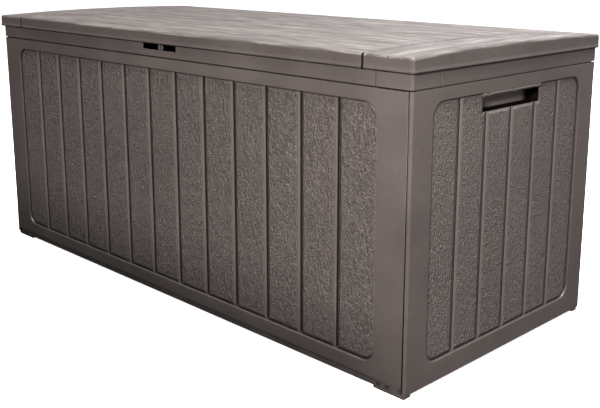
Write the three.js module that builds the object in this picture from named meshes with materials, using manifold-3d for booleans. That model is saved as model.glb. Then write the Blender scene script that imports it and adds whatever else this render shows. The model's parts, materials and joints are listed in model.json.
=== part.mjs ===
// Deck storage box: resin panels standing on a floor panel with corner feet, capped by a
// rim of rails and corner pieces, under a planked lid on three hinges with two slotted stays.
// Units are millimetres. X runs along the length, Y from the front to the back, Z up.
import * as THREE from 'three';
import Module from 'manifold-3d';
import { mergeVertices } from 'three/addons/utils/BufferGeometryUtils.js';

const wasm = await Module();
wasm.setup();

// ---------------------------------------------------------------- driving dimensions
const length = 1200;            // body, outside, along X
const depth = 524;              // body, outside, along Y
const clearance = 0.3;          // gap left between pieces that touch
const sideBottom = 7;           // underside of the side panels above the ground
const frontBottom = 16.5;       // underside of the front and back panels
const wallTop = 476;            // where the walls stop and the rim begins
const rimTop = 499;             // where the rim stops and the lid begins
const lidEdgeTop = 524;         // top of the lid at its front and back edges
const crown = 5;                // how much higher the lid is along its middle
const lidOverhang = 6;          // how far the lid stands out past the walls
const wallThickness = 14;       // panel, face to rib tips
const sideWrap = 5;             // strip of the side panel seen beside the front panel
const cornerRadius = 5;         // upright corners of the body

const halfLength = length / 2;
const halfDepth = depth / 2;
const innerX = halfLength - wallThickness;
const innerY = halfDepth - wallThickness;

// slatted fields on the walls
const fieldDepth = 3.5;
const fieldBevel = 2;
const fieldRadius = 25;
const grooveWidth = 6;
const grooveDepth = 3;
const ribThickness = 5;
const pocketDepth = 6;
const plainBand = 16;           // unribbed edge of a wall's inner side, below and above
const stayBandBottom = 332;     // above this an end panel is plain inside, for slot and stay
const longField = { half: 537, bottom: 40, top: 452, slats: 13 };
const endField = { half: 211, bottom: 42, top: 454, slats: 6 };

// rim
const rimWidth = 24;
const rimSkin = 3.2;
const rimCornerX = 67;
const rimCornerY = 65;
const tongueTop = rimTop - 5;
const tongueOuter = rimSkin + clearance;
const tongueShort = 2;          // how far a tongue stops short of its wall's ends

// finger notch and padlock tabs
const notchHalf = 52;
const notchFloor = 488;
const notchWeb = 479;           // behind the rim's skin the notch goes down to here
const tabReach = 9;             // how far back the padlock tabs go into the notch
const tabThickness = 2.4;
const tabHoleRadius = 2.2;

// hand slots in the ends
const slotHalf = 81.5;
const slotBottom = 422.5;
const slotTop = 448.5;
const cupWall = 3;
const cupReach = 14;
const slotSkin = 7;             // behind this the hollow is wider and deeper than the slot
const cupHalf = slotHalf + 15;
const cupFloor = slotBottom - 17;

// feet and floor
const footX = 65;
const footY = 62;
const footInset = 3;
const toeLength = 16;           // the part of a foot that shows under an end panel
const floorTop = 20;
const floorSkin = 4;
const baseInset = 5;
const baseLine = 12;            // height of the fine groove round the base

// lid
const capJoint = 510;
const plankPitch = 105;
const plankGroove = 4;
const plankGrooveDepth = 2.2;
const lidSkin = 5;
const lidRib = 4;
const lidBorder = 12;           // unribbed edge of the lid's underside
const lidLip = 2.5;
const lidRound = 5;

// hinges: the axis runs along the top back edge of the body
const hingeY = halfDepth;
const hingeZ = rimTop;
const hingePlaces = [-400, 0, 400];
const barrelRadius = 6;
const pinRadius = 2.5;
const boxKnuckle = 18;
const lidKnuckle = 24;
const leafThickness = 2.4;
const leafHeight = 21;          // from the hinge axis to a leaf's far edge
const screwRadius = 1.8;
const screwHeadRadius = 3.6;
const screwHeadHeight = 1.8;

const leafHalf = boxKnuckle + lidKnuckle / 2;
const leafFace = hingeY + clearance;
const hingeNotch = leafHalf + 2;
const hingeSolid = leafHalf + 4;
const notchSolid = notchHalf + 46;
const screwHoleRadius = screwRadius + 0.3;
const screwHoleDepth = 8.8;
const screwLength = 11;
const boxScrewZ = rimTop - 15;
const lidScrewZ = rimTop + 14;
const screwPlaces = (x) => [x - 20, x + 20];

// slotted stays: the arm's pivot and the stud lie at the same distance from the hinge axis,
// so the arm turns exactly half as far as the lid
const stayRadius = 160;
const stayDrop = 3.6;
const stayLead = 25;
const lidOpening = 100;
const stayX = 562;
const armThickness = 4;
const armHalfWidth = 9;
const studRadius = 4;

// ---------------------------------------------------------------- solid helpers
const toSolid = (geometry) => {
  const bare = geometry.index ? geometry.toNonIndexed() : geometry.clone();
  bare.deleteAttribute('normal');
  bare.deleteAttribute('uv');
  const welded = mergeVertices(bare, 1e-4);
  return new wasm.Manifold(new wasm.Mesh({
    numProp: 3,
    vertProperties: Float32Array.from(welded.attributes.position.array),
    triVerts: Uint32Array.from(welded.index.array),
  }));
};

const block = (x0, x1, y0, y1, z0, z1) => {
  const geometry = new THREE.BoxGeometry(x1 - x0, y1 - y0, z1 - z0);
  geometry.translate((x0 + x1) / 2, (y0 + y1) / 2, (z0 + z1) / 2);
  return toSolid(geometry);
};

const turnTo = {
  x: new THREE.Matrix4().makeBasis(
    new THREE.Vector3(0, 1, 0), new THREE.Vector3(0, 0, 1), new THREE.Vector3(1, 0, 0)),
  y: new THREE.Matrix4().makeBasis(
    new THREE.Vector3(1, 0, 0), new THREE.Vector3(0, 0, 1), new THREE.Vector3(0, -1, 0)),
  z: new THREE.Matrix4(),
};

// An outline pushed along one axis from low to high. The outline is drawn in the two other
// axes, in X, Y, Z order.
const extrude = (shape, axis, low, high, options = {}) => {
  const bevel = options.bevelThickness ?? 0;
  const geometry = new THREE.ExtrudeGeometry(shape, {
    depth: high - low - 2 * bevel,
    bevelEnabled: bevel > 0,
    bevelSegments: 1,
    curveSegments: 5,
    ...options,
  });
  geometry.applyMatrix4(turnTo[axis]);
  const along = axis === 'y' ? high - bevel : low + bevel;
  geometry.translate(axis === 'x' ? along : 0, axis === 'y' ? along : 0, axis === 'z' ? along : 0);
  return toSolid(geometry);
};

const outline = (points) => new THREE.Shape(points.map(([a, b]) => new THREE.Vector2(a, b)));

const rod = (axis, centreA, centreB, radius, low, high, arcSteps = 8) => {
  const shape = new THREE.Shape();
  shape.absarc(centreA, centreB, radius, 0, Math.PI * 2, false);
  return extrude(shape, axis, low, high, { curveSegments: arcSteps });
};

const roundedRectangle = (a0, a1, b0, b1, radius) => {
  const shape = new THREE.Shape();
  shape.moveTo(a0 + radius, b0);
  shape.lineTo(a1 - radius, b0);
  shape.absarc(a1 - radius, b0 + radius, radius, -Math.PI / 2, 0, false);
  shape.lineTo(a1, b1 - radius);
  shape.absarc(a1 - radius, b1 - radius, radius, 0, Math.PI / 2, false);
  shape.lineTo(a0 + radius, b1);
  shape.absarc(a0 + radius, b1 - radius, radius, Math.PI / 2, Math.PI, false);
  shape.lineTo(a0, b0 + radius);
  shape.absarc(a0 + radius, b0 + radius, radius, Math.PI, Math.PI * 1.5, false);
  return shape;
};

const joinAll = (solids) => solids.reduce((whole, solid) => whole.add(solid));
const cutAll = (solid, cutters) => (cutters.length ? solid.subtract(joinAll(cutters)) : solid);
const mirrorX = (solid) => solid.mirror([1, 0, 0]);
const mirrorY = (solid) => solid.mirror([0, 1, 0]);

// ---------------------------------------------------------------- materials and naming
const resin = { color: 0x6f6561, roughness: 0.55, metalness: 0 };
const darkResin = { color: 0x4b4441, roughness: 0.6, metalness: 0 };
const steel = { color: 0xa8a9ab, roughness: 0.35, metalness: 0.9 };

const group = new THREE.Group();
group.name = 'deck_storage_box';

const addPiece = (name, solid, look) => {
  const mesh = solid.getMesh();
  const geometry = new THREE.BufferGeometry();
  geometry.setAttribute('position', new THREE.BufferAttribute(mesh.vertProperties, 3));
  geometry.setIndex(new THREE.BufferAttribute(mesh.triVerts, 1));
  geometry.computeVertexNormals();
  const piece = new THREE.Mesh(geometry, new THREE.MeshStandardMaterial(look));
  piece.name = name;
  group.add(piece);
};

// ---------------------------------------------------------------- walls
// A sunken field with upright V grooves, cut into a face that looks along -axis.
const fieldCutters = (field, axis, face) => {
  const floorLine = roundedRectangle(
    -field.half + fieldBevel, field.half - fieldBevel,
    field.bottom + fieldBevel, field.top - fieldBevel, fieldRadius - fieldBevel);
  const reach = 6;
  const recess = extrude(floorLine, axis, face - reach, face + fieldDepth,
    { bevelThickness: fieldBevel, bevelSize: fieldBevel });
  const pitch = 2 * field.half / field.slats;
  const floor = face + fieldDepth;
  const grooves = [];
  for (let i = 1; i < field.slats; i += 1) {
    const centre = -field.half + i * pitch;
    const across = [
      [centre - grooveWidth / 2, floor - 0.2],
      [centre + grooveWidth / 2, floor - 0.2],
      [centre, floor + grooveDepth],
    ];
    const section = axis === 'y' ? across : across.map(([a, b]) => [b, a]);
    grooves.push(extrude(outline(section), 'z', field.bottom + 1, field.top - 1));
  }
  return [recess, ...grooves];
};

// Shallow hollows between ribs on the inner side of a wall.
const ribPockets = (half, bottom, top, columns, rows, make) => {
  const width = (2 * half - (columns - 1) * ribThickness) / columns;
  const height = (top - bottom - (rows - 1) * ribThickness) / rows;
  const pockets = [];
  for (let i = 0; i < columns; i += 1) {
    for (let j = 0; j < rows; j += 1) {
      const low = -half + i * (width + ribThickness);
      const base = bottom + j * (height + ribThickness);
      pockets.push(make(low, low + width, base, base + height));
    }
  }
  return pockets;
};

const makeLongPanel = (isFront) => {
  const half = halfLength - sideWrap - clearance;
  const face = -halfDepth;
  const slab = block(-half, half, face, -innerY, frontBottom, wallTop - clearance);
  const tongue = block(-half + tongueShort, half - tongueShort, face + tongueOuter, -innerY,
    wallTop - 2, tongueTop);
  const roomAt = (x, reach) => block(x - reach, x + reach, face, 0,
    wallTop - clearance, tongueTop + 1);
  const cutters = fieldCutters(longField, 'y', face);
  cutters.push(...ribPockets(innerX - 8, frontBottom + plainBand, wallTop - plainBand, 7, 3,
    (a0, a1, b0, b1) => block(a0, a1, -innerY - pocketDepth, -innerY + 1, b0, b1)));
  if (isFront) {
    cutters.push(roomAt(0, notchSolid + 2));
  } else {
    cutters.push(...hingePlaces.map((x) => roomAt(x, hingeSolid + 2)));
  }
  return cutAll(slab.add(tongue), cutters);
};

const makeEndPanel = () => {
  const face = -halfLength;
  const plan = roundedRectangle(-halfLength, halfLength, -halfDepth, halfDepth, cornerRadius);
  const rounded = extrude(plan, 'z', sideBottom, wallTop - clearance)
    .intersect(block(face, -innerX, -depth, depth, 0, wallTop));
  const tongue = block(face + tongueOuter, -innerX, -innerY + tongueShort, innerY - tongueShort,
    wallTop - 2, tongueTop);
  const cutters = fieldCutters(endField, 'x', face);
  const inside = innerY - clearance;
  for (const side of [-1, 1]) {
    const edges = [side * inside, side * (halfDepth + 1)].sort((a, b) => a - b);
    cutters.push(block(face + sideWrap, 0, edges[0], edges[1], 0, wallTop));
  }
  cutters.push(block(face - 1, 0, -slotHalf, slotHalf, slotBottom, slotTop));
  cutters.push(block(face + slotSkin, 0, -cupHalf, cupHalf, cupFloor, slotTop));
  cutters.push(...ribPockets(inside - 10, sideBottom + plainBand, stayBandBottom, 3, 2,
    (a0, a1, b0, b1) => block(-innerX - pocketDepth, -innerX + 1, a0, a1, b0, b1)));
  return cutAll(rounded.add(tongue), cutters);
};

const frontPanel = makeLongPanel(true);
const backPanel = mirrorY(makeLongPanel(false));
const leftPanel = makeEndPanel();
addPiece('front_panel', frontPanel, resin);
addPiece('back_panel', backPanel, resin);
addPiece('end_panel_left', leftPanel, resin);
addPiece('end_panel_right', mirrorX(leftPanel), resin);

// ---------------------------------------------------------------- hand slot cups
const makeHandleCup = () => {
  const mouth = -innerX + clearance;
  const back = mouth + cupReach;
  return block(mouth, back + cupWall, -cupHalf - cupWall, cupHalf + cupWall,
    cupFloor - cupWall, slotTop + cupWall)
    .subtract(block(mouth - 1, back, -cupHalf, cupHalf, cupFloor, slotTop));
};

const leftCup = makeHandleCup();
addPiece('handle_cup_left', leftCup, darkResin);
addPiece('handle_cup_right', mirrorX(leftCup), darkResin);

// ---------------------------------------------------------------- floor and feet
const makeFloor = () => {
  const halfX = innerX - clearance;
  const halfY = innerY - clearance;
  const baseY = halfDepth - baseInset;
  const underside = 3;
  const plate = block(-halfX, halfX, -halfY, halfY, frontBottom - clearance, floorTop);
  const base = block(-halfX, halfX, -baseY, baseY, underside, frontBottom - clearance);
  const cutters = [];
  const footClearX = halfLength - footX - clearance;
  const footClearY = halfDepth - footY - clearance;
  for (const sy of [-1, 1]) {
    const ys = [sy * (baseY - 2), sy * depth].sort((a, b) => a - b);
    cutters.push(block(-length, length, ys[0], ys[1], baseLine, baseLine + 1.5));
  }
  for (const sx of [-1, 1]) {
    for (const sy of [-1, 1]) {
      const xs = [sx * footClearX, sx * length].sort((a, b) => a - b);
      const ys = [sy * footClearY, sy * depth].sort((a, b) => a - b);
      cutters.push(block(xs[0], xs[1], ys[0], ys[1], 0, frontBottom - clearance));
    }
  }
  const columns = 7;
  const rows = 3;
  const bayX = (2 * footClearX - 2 * ribThickness) / columns;
  const bayY = (2 * footClearY - 2 * ribThickness) / rows;
  for (let i = 0; i < columns; i += 1) {
    for (let j = 0; j < rows; j += 1) {
      const x = -footClearX + ribThickness + i * bayX;
      const y = -footClearY + ribThickness + j * bayY;
      cutters.push(block(x + ribThickness / 2, x + bayX - ribThickness / 2,
        y + ribThickness / 2, y + bayY - ribThickness / 2, 0, floorTop - floorSkin));
    }
  }
  return cutAll(plate.add(base), cutters);
};

const makeFoot = () => {
  const x0 = -halfLength + footInset;
  const x1 = -halfLength + footX;
  const y0 = -halfDepth + footInset;
  const y1 = -halfDepth + footY;
  const top = frontBottom - 2 * clearance;
  const main = block(-innerX + clearance, x1, y0, y1, 0, top);
  const toe = block(x0, -innerX + clearance, y0, y0 + toeLength, 0, sideBottom - clearance);
  const slotWidth = 8;
  const slotPitch = 18;
  const slotDepth = 12;
  const slots = [0, 1].map((i) => {
    const x = x1 - slotWidth - 6 - i * slotPitch;
    return block(x, x + slotWidth, y0 - 1, y0 + slotDepth, 4, top - 4);
  });
  return cutAll(main.add(toe), slots);
};

addPiece('floor_panel', makeFloor(), darkResin);
const foot = makeFoot();
addPiece('foot_front_left', foot, darkResin);
addPiece('foot_front_right', mirrorX(foot), darkResin);
addPiece('foot_back_left', mirrorY(foot), darkResin);
addPiece('foot_back_right', mirrorX(mirrorY(foot)), darkResin);

// ---------------------------------------------------------------- rim
// A rail is hollow above the walls' tongues, and solid at the hinges. Round the notch it is a
// skin standing on a web.
const makeLongRail = (isFront) => {
  const half = halfLength - rimCornerX - clearance;
  const face = -halfDepth;
  const bar = block(-half, half, face, face + rimWidth, wallTop, rimTop);
  const solidPlaces = isFront ? [0] : hingePlaces;
  const solidHalf = isFront ? notchSolid : hingeSolid;
  const edges = [-length, ...solidPlaces.flatMap((x) => [x - solidHalf, x + solidHalf]), length];
  const cutters = [];
  for (let i = 0; i < edges.length; i += 2) {
    cutters.push(block(edges[i], edges[i + 1], face + rimSkin, -innerY + clearance,
      wallTop - 1, tongueTop + clearance));
  }
  if (isFront) {
    const hollowHalf = notchSolid - 2;
    cutters.push(block(-notchHalf, notchHalf, face - 1, face + rimWidth, notchFloor, rimTop + 1));
    cutters.push(block(-hollowHalf, hollowHalf, face + rimSkin, face + rimWidth + 1,
      notchWeb, rimTop + 1));
    return cutAll(bar, cutters);
  }
  const barrelRoom = barrelRadius + 0.5;
  for (const x of hingePlaces) {
    cutters.push(block(x - hingeNotch, x + hingeNotch, face - 1, face + barrelRoom,
      rimTop - barrelRoom, rimTop + 1));
    cutters.push(...screwPlaces(x).map((place) => rod('y', place, boxScrewZ, screwHoleRadius,
      face - 1, face + screwHoleDepth, 5)));
  }
  return cutAll(bar, cutters);
};

const makeEndRail = () => {
  const half = halfDepth - rimCornerY - clearance;
  const face = -halfLength;
  return cutAll(block(face, face + rimWidth, -half, half, wallTop, rimTop),
    [block(face + rimSkin, -innerX + clearance, -depth, depth, wallTop - 1,
      tongueTop + clearance)]);
};

const makeRimCorner = () => {
  const x1 = -halfLength + rimCornerX;
  const y1 = -halfDepth + rimCornerY;
  const plan = roundedRectangle(-halfLength, halfLength, -halfDepth, halfDepth, cornerRadius);
  const whole = extrude(plan, 'z', wallTop, rimTop)
    .intersect(block(-length, x1, -depth, y1, 0, rimTop));
  const inside = block(-halfLength + rimWidth, 0, -halfDepth + rimWidth, 0, 0, rimTop + 1);
  const channelTop = tongueTop + clearance;
  const channelX = block(-halfLength + rimSkin, 0, -halfDepth + rimSkin, -innerY + clearance,
    wallTop - 1, channelTop);
  const channelY = block(-halfLength + rimSkin, -innerX + clearance, -halfDepth + rimSkin, 0,
    wallTop - 1, channelTop);
  return cutAll(whole, [inside, channelX, channelY]);
};

addPiece('rim_rail_front', makeLongRail(true), resin);
addPiece('rim_rail_back', mirrorY(makeLongRail(false)), resin);
const leftRail = makeEndRail();
addPiece('rim_rail_left', leftRail, resin);
addPiece('rim_rail_right', mirrorX(leftRail), resin);
const rimCorner = makeRimCorner();
addPiece('rim_corner_front_left', rimCorner, resin);
addPiece('rim_corner_front_right', mirrorX(rimCorner), resin);
addPiece('rim_corner_back_left', mirrorY(rimCorner), resin);
addPiece('rim_corner_back_right', mirrorX(mirrorY(rimCorner)), resin);

// ---------------------------------------------------------------- padlock tabs
const tabFront = -halfDepth + 1;
const tabBack = -halfDepth + tabReach;
const tabHoleY = tabFront + (tabBack - tabFront) / 2;
const tabHoleZ = (notchFloor + rimTop) / 2;

const makeTab = (x0, x1, bottom, top) => {
  const plate = block(x0, x1, tabFront, tabBack, bottom, top);
  return plate.subtract(rod('x', tabHoleY, tabHoleZ, tabHoleRadius, x0 - 1, x1 + 1, 5));
};

const rimTab = makeTab(0.2, 0.2 + tabThickness, notchFloor + clearance, rimTop - clearance);
const rimTabLeg = block(0.2, 0.2 + tabThickness, -halfDepth + rimSkin + clearance, tabBack,
  notchWeb + clearance, notchFloor + 1);
addPiece('rim_lock_tab', rimTab.add(rimTabLeg), resin);
addPiece('lid_lock_tab', makeTab(-0.2 - tabThickness, -0.2, notchFloor + 2 * clearance,
  rimTop), resin);

// ---------------------------------------------------------------- lid
const lidBottom = rimTop + clearance;
const lidFront = -halfDepth - lidOverhang;
const lidBack = halfDepth;
const lidMiddle = (lidFront + lidBack) / 2;
const lidHalfDepth = (lidBack - lidFront) / 2;
const crownHeight = (y) => crown * (1 - ((y - lidMiddle) / lidHalfDepth) ** 2);

// The lid's end view: a lip in front, rounded top edges and a crowned top. Grooves are the
// Y positions of the lines between planks.
const lidOutline = (grooves) => {
  const points = [
    [lidBack, lidBottom],
    [lidFront + lidOverhang, lidBottom],
    [lidFront + lidOverhang, lidBottom + lidLip],
    [lidFront, lidBottom + lidLip],
  ];
  const roundSteps = 4;
  for (let i = 0; i <= roundSteps; i += 1) {
    const angle = (i / roundSteps) * Math.PI / 2;
    points.push([lidFront + lidRound * (1 - Math.cos(angle)),
      lidEdgeTop - lidRound * (1 - Math.sin(angle))]);
  }
  const stops = [lidFront + lidRound, ...grooves, lidBack - lidRound];
  const steps = Math.round(15 / (grooves.length + 1)) + 2;
  for (let i = 0; i + 1 < stops.length; i += 1) {
    const isFirst = i === 0;
    const isLast = i + 2 === stops.length;
    const low = stops[i] + (isFirst ? 0 : plankGroove / 2);
    const high = stops[i + 1] - (isLast ? 0 : plankGroove / 2);
    for (let k = isFirst ? 1 : 0; k <= steps; k += 1) {
      const y = low + (high - low) * k / steps;
      points.push([y, lidEdgeTop + crownHeight(y)]);
    }
    if (!isLast) {
      points.push([stops[i + 1], lidEdgeTop + crownHeight(stops[i + 1]) - plankGrooveDepth]);
    }
  }
  for (let i = roundSteps - 1; i >= 0; i -= 1) {
    const angle = (i / roundSteps) * Math.PI / 2;
    points.push([lidBack - lidRound * (1 - Math.cos(angle)),
      lidEdgeTop - lidRound * (1 - Math.sin(angle))]);
  }
  return outline(points);
};

const plankGrooves = [-1.5, -0.5, 0.5, 1.5].map((i) => lidMiddle + i * plankPitch);

const lidPockets = (xLow, xHigh, columns) => {
  const rows = [lidFront + lidBorder, ...plankGrooves, lidBack - lidBorder];
  const bay = (xHigh - xLow) / columns;
  const pockets = [];
  for (let j = 0; j + 1 < rows.length; j += 1) {
    const roof = lidEdgeTop - lidSkin + Math.min(crownHeight(rows[j]), crownHeight(rows[j + 1]));
    for (let i = 0; i < columns; i += 1) {
      pockets.push(block(xLow + i * bay + lidRib / 2, xLow + (i + 1) * bay - lidRib / 2,
        rows[j] + lidRib / 2, rows[j + 1] - lidRib / 2, rimTop - 1, roof));
    }
  }
  return pockets;
};

const makeLidDeck = () => {
  const half = capJoint - clearance;
  const bar = extrude(lidOutline(plankGrooves), 'x', -half, half);
  const barrelRoom = barrelRadius + 0.5;
  const hinges = hingePlaces.map((x) => block(x - hingeNotch, x + hingeNotch,
    hingeY - barrelRoom, hingeY + 1, rimTop - 1, hingeZ + barrelRoom));
  const holes = hingePlaces.flatMap(screwPlaces).map((x) => rod('y', x, lidScrewZ,
    screwHoleRadius, hingeY - screwHoleDepth, hingeY + 1, 5));
  return cutAll(bar, [...hinges, ...holes, ...lidPockets(-half + 4, half - 4, 6)]);
};

const makeLidCap = () => {
  const outerX = -halfLength - lidOverhang;
  const bar = extrude(lidOutline([]), 'x', outerX, -capJoint);
  const ends = new THREE.Shape();
  ends.moveTo(0, 0);
  ends.lineTo(0, lidEdgeTop + crown + 1);
  ends.lineTo(outerX + lidRound, lidEdgeTop + crown + 1);
  ends.lineTo(outerX + lidRound, lidEdgeTop + crown);
  ends.absarc(outerX + lidRound, lidEdgeTop + crown - lidRound, lidRound,
    Math.PI / 2, Math.PI, false);
  ends.lineTo(outerX, lidBottom + lidLip);
  ends.lineTo(-halfLength, lidBottom + lidLip);
  ends.lineTo(-halfLength, 0);
  const shaped = bar.intersect(extrude(ends, 'y', -depth, depth));
  return cutAll(shaped, lidPockets(outerX + lidBorder, -capJoint - 2, 1));
};

addPiece('lid_deck', makeLidDeck(), resin);
const leftCap = makeLidCap();
addPiece('lid_end_cap_left', leftCap, resin);
addPiece('lid_end_cap_right', mirrorX(leftCap), resin);

// ---------------------------------------------------------------- hinges
const boreRadius = pinRadius + 0.2;

const makeLeaf = (x, isBox) => {
  const towards = isBox ? -1 : 1;
  const plateNear = hingeZ + towards * (barrelRadius + 2);
  const plateFar = hingeZ + towards * leafHeight;
  const [z0, z1] = [plateNear, plateFar].sort((a, b) => a - b);
  const plate = block(x - leafHalf, x + leafHalf, leafFace, leafFace + leafThickness, z0, z1);
  const spans = isBox
    ? [[x - leafHalf, x - lidKnuckle / 2 - clearance], [x + lidKnuckle / 2 + clearance, x + leafHalf]]
    : [[x - lidKnuckle / 2, x + lidKnuckle / 2]];
  const knuckles = spans.flatMap(([x0, x1]) => {
    const [n0, n1] = [hingeZ, plateNear + towards * 0.5].sort((a, b) => a - b);
    return [rod('x', hingeY, hingeZ, barrelRadius, x0, x1),
      block(x0, x1, leafFace, leafFace + leafThickness, n0, n1)];
  });
  const bore = rod('x', hingeY, hingeZ, boreRadius, x - length, x + length);
  const screwZ = isBox ? boxScrewZ : lidScrewZ;
  const holes = screwPlaces(x).map((place) => rod('y', place, screwZ, screwHoleRadius,
    leafFace - 1, leafFace + leafThickness + 1, 5));
  return cutAll(joinAll([plate, ...knuckles]), [bore, ...holes]);
};

const makeScrew = (x, z) => {
  const seat = leafFace + leafThickness + clearance;
  const head = rod('y', x, z, screwHeadRadius, seat, seat + screwHeadHeight, 5);
  return head.add(rod('y', x, z, screwRadius, seat - screwLength, seat + 0.5, 5));
};

hingePlaces.forEach((x, i) => {
  const number = i + 1;
  addPiece(`hinge_box_leaf_${number}`, makeLeaf(x, true), darkResin);
  addPiece(`hinge_lid_leaf_${number}`, makeLeaf(x, false), darkResin);
  addPiece(`hinge_pin_${number}`,
    rod('x', hingeY, hingeZ, pinRadius, x - leafHalf - 1, x + leafHalf + 1), steel);
  screwPlaces(x).forEach((place, k) => {
    const side = k === 0 ? 'left' : 'right';
    addPiece(`box_leaf_screw_${number}_${side}`, makeScrew(place, boxScrewZ), steel);
    addPiece(`lid_leaf_screw_${number}_${side}`, makeScrew(place, lidScrewZ), steel);
  });
});

// ---------------------------------------------------------------- stays
// Left-hand pieces, seen in the Y-Z plane; the right-hand ones are mirrored.
const radians = (degrees) => degrees * Math.PI / 180;
const onStayCircle = (degrees) => [
  hingeY - stayRadius * Math.cos(radians(degrees)),
  hingeZ - stayRadius * Math.sin(radians(degrees)),
];
const chord = (degrees) => 2 * stayRadius * Math.sin(radians(degrees / 2));
const [pivotY, pivotZ] = onStayCircle(stayDrop);
const [studY, studZ] = onStayCircle(stayDrop + stayLead);
const closedReach = chord(stayLead);
const openReach = chord(stayLead + lidOpening);
const armTilt = Math.atan2(studZ - pivotZ, studY - pivotY);
const armOuter = -stayX - armThickness / 2;
const armInner = -stayX + armThickness / 2;
const pivotPinRadius = 3;
const headRadius = 8;

const roundEndedBar = (from, to, radius) => {
  const along = [Math.cos(armTilt), Math.sin(armTilt)];
  const at = (reach) => [pivotY + reach * along[0], pivotZ + reach * along[1]];
  const shape = new THREE.Shape();
  shape.absarc(...at(from), radius, armTilt + Math.PI / 2, armTilt + Math.PI * 1.5, false);
  shape.absarc(...at(to), radius, armTilt - Math.PI / 2, armTilt + Math.PI / 2, false);
  return shape;
};

const makeStayArm = () => {
  const bar = extrude(roundEndedBar(0, openReach + 2, armHalfWidth), 'x', armOuter, armInner);
  const slot = extrude(roundEndedBar(closedReach - 2, openReach, studRadius + 0.4), 'x',
    armOuter - 1, armInner + 1);
  const eye = rod('x', pivotY, pivotZ, pivotPinRadius + 0.3, armOuter - 1, armInner + 1);
  return cutAll(bar, [slot, eye]);
};

const makeStayStud = () => {
  const plateOuter = -innerX + clearance;
  const plateInner = plateOuter + 4;
  const plate = extrude(roundedRectangle(studY - 18, studY + 18, studZ - 24, studZ + 24, 6), 'x',
    plateOuter, plateInner);
  const collar = rod('x', studY, studZ, headRadius, plateInner - 1, armOuter - 0.5);
  const shank = rod('x', studY, studZ, studRadius, plateInner - 1, armInner + 2);
  const head = rod('x', studY, studZ, headRadius, armInner + 0.5, armInner + 3);
  return joinAll([plate, collar, shank, head]);
};

const earOuter = armOuter - 4.5;
const earInner = armOuter - 0.5;
const makeStayBracket = () => {
  const top = rimTop;
  const base = block(-innerX + 12, -stayX + 14, pivotY - 20, pivotY + 20, top - 3, top);
  const ear = rod('x', pivotY, pivotZ, 9, earOuter, earInner)
    .add(block(earOuter, earInner, pivotY - 9, pivotY + 9, pivotZ, top));
  const armRoom = block(earInner, armInner + 1, pivotY - 21, pivotY + 21, top - 4, top - 0.8);
  const hole = rod('x', pivotY, pivotZ, pivotPinRadius + 0.2, earOuter - 1, earInner + 1);
  return cutAll(base.add(ear), [hole, armRoom]);
};

const makeStayPivot = () => joinAll([
  rod('x', pivotY, pivotZ, pivotPinRadius, earOuter - 2, armInner + 2),
  rod('x', pivotY, pivotZ, 5.5, earOuter - 2.3, earOuter - 0.3),
  rod('x', pivotY, pivotZ, 5.5, armInner + 0.5, armInner + 2.5),
]);

const addStay = (side, place) => {
  addPiece(`stay_arm_${side}`, place(makeStayArm()), darkResin);
  addPiece(`stay_stud_${side}`, place(makeStayStud()), darkResin);
  addPiece(`stay_bracket_${side}`, place(makeStayBracket()), darkResin);
  addPiece(`stay_pivot_${side}`, place(makeStayPivot()), steel);
};

addStay('left', (solid) => solid);
addStay('right', mirrorX);

export default group;
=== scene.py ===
"""Looks of the deck storage box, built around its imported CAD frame.

Lengths are in millimetres in the shape code and become metres when a mesh is made.
"""

import json
import math

import bmesh
import bpy
import numpy as np
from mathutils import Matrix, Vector
from mathutils.geometry import delaunay_2d_cdt

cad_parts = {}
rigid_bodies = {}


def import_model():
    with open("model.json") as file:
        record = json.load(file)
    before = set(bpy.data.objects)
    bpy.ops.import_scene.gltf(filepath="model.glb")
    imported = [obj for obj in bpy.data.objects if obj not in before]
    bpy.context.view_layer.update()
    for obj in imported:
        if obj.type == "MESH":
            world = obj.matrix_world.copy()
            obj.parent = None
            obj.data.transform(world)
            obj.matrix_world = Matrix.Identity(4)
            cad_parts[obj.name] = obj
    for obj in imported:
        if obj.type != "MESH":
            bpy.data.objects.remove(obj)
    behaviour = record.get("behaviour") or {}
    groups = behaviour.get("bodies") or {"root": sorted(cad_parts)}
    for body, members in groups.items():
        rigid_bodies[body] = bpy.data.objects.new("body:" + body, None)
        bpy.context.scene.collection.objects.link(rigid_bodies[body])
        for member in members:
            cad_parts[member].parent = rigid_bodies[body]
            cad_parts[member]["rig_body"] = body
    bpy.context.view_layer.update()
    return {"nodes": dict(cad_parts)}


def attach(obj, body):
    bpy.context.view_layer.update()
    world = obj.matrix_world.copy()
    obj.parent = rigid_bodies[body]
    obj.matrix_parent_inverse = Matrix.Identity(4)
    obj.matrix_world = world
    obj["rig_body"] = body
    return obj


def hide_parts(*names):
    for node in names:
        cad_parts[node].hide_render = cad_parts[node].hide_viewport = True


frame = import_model()

# ------------------------------------------------------------------ dimensions
HALF_LENGTH = 600.0
HALF_DEPTH = 262.0
SIDE_BOTTOM = 7.0
FRONT_BOTTOM = 16.5
WALL_TOP = 476.0
RIM_TOP = 499.0
LID_EDGE_TOP = 524.0
CROWN = 5.0
OVERHANG = 6.0
WALL = 14.0
SIDE_WRAP = 5.0
CORNER_RADIUS = 5.0
GAP = 0.3
INNER_X = HALF_LENGTH - WALL
INNER_Y = HALF_DEPTH - WALL
TONGUE_TOP = RIM_TOP - 5.0       # a tongue of each wall stands up inside the rim
TONGUE_OUT = 3.5
POCKET_FLOOR = 10.2              # depth, from the wall's face, of the pockets between its ribs
POCKET_RADIUS = 7.0
PLAIN_BAND = 16.0                # unribbed edge of a wall's inner side
STAY_BAND_BOTTOM = 332.0         # above this an end wall is plain inside
MM = 0.001
NEAR = 0.1                       # points this close to a line, in mm, count as on it
WELD = 0.002                     # points of the CAD closer together than this are one
LONG_STEP = 2.25                 # size of a field's grid cells
END_STEP = 1.9

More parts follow.
